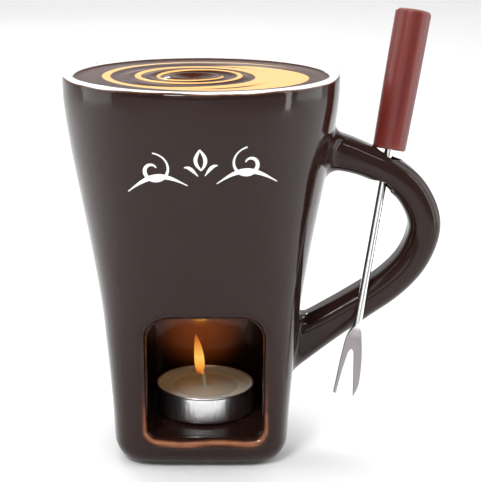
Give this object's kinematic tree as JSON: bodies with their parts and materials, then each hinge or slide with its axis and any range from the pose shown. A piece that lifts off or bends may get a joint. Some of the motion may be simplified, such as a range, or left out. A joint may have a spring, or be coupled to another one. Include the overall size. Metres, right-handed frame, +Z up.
{
  "type": "fondue mug set",
  "caption": "Glazed ceramic fondue mug with a tealight chamber under its bowl, a loop handle, and a long two-tined fork hung through the handle.",
  "frame": {"origin": "centre of the flat underside of the mug, on the surface it stands on", "axes": "+Z up along the mug's axis, -Y out through the candle window, +X towards the handle"},
  "size_m": [0.1417, 0.1026, 0.1678],
  "materials": {
    "brown_glaze": "dark brown gloss glaze with a white liner glaze inside the bowl and on the rim",
    "grip_wood": "red-brown stained and satin lacquered",
    "fork_steel": "polished stainless steel, satin on the flattened head",
    "cup_aluminium": "thin drawn foil, bright",
    "candle_wax": "off-white paraffin wax",
    "wick_cotton": "braided cotton, charred at the tip",
    "sustainer_tin": "tinned sheet"
  },
  "bodies": {
    "mug": {"mug_body": "brown_glaze", "mug_handle": "brown_glaze"},
    "fork": {"fork_grip": "grip_wood", "fork_steel": "fork_steel"},
    "tealight": {"tealight_cup": "cup_aluminium"},
    "candle": {"tealight_wax": "candle_wax", "tealight_wick": "wick_cotton", "wick_sustainer": "sustainer_tin"}
  },
  "joints": [
    {"name": "fork_lift", "type": "slide", "parent": "mug", "child": "fork", "axis": [0.1679, 0.1839, 0.9685], "range_m": [0, 0.11]},
    {"name": "tealight_slide", "type": "slide", "parent": "mug", "child": "tealight", "axis": [0, -1, 0], "range_m": [0, 0.06]},
    {"name": "candle_lift", "type": "slide", "parent": "tealight", "child": "candle", "axis": [0, 0, 1], "range_m": [0, 0.014]}
  ]
}
